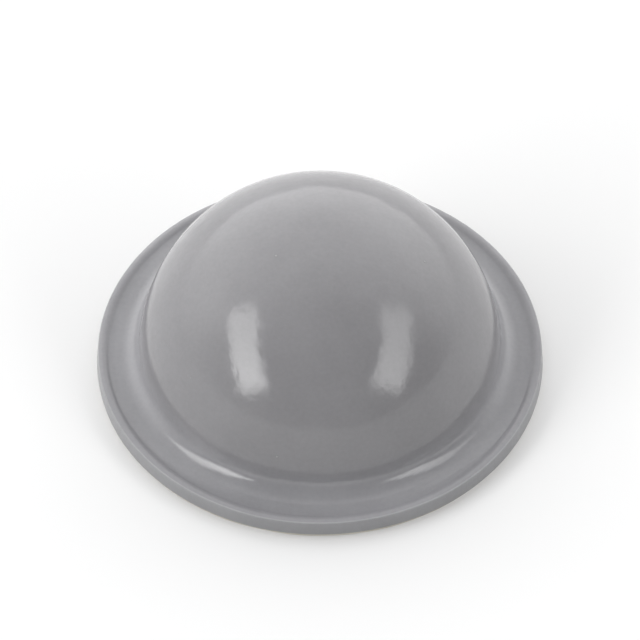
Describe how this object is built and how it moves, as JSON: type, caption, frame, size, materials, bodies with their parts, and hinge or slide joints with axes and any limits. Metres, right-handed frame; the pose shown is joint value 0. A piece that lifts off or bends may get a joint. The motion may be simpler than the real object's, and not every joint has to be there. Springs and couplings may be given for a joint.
{
  "type": "adhesive bumper foot",
  "caption": "Half-ball elastomer bumper on a thin round flange, stuck by its flat adhesive underside so that the dome cushions a door, drawer or appliance.",
  "frame": {"origin": "centre of the adhesive film's underside, the face that is stuck down", "axes": "+Z along the axis of the dome, from the adhesive to the crown; X and Y lie in the adhesive face, and the part is round, so their direction is free"},
  "size_m": [0.0112, 0.0112, 0.0051],
  "materials": {
    "grey_elastomer": "smooth and glossy, as moulded",
    "clear_adhesive": "tacky, pale and slightly cloudy"
  },
  "bodies": {
    "root": {"bumper_body": "grey_elastomer", "adhesive_film": "clear_adhesive"}
  },
  "joints": []
}
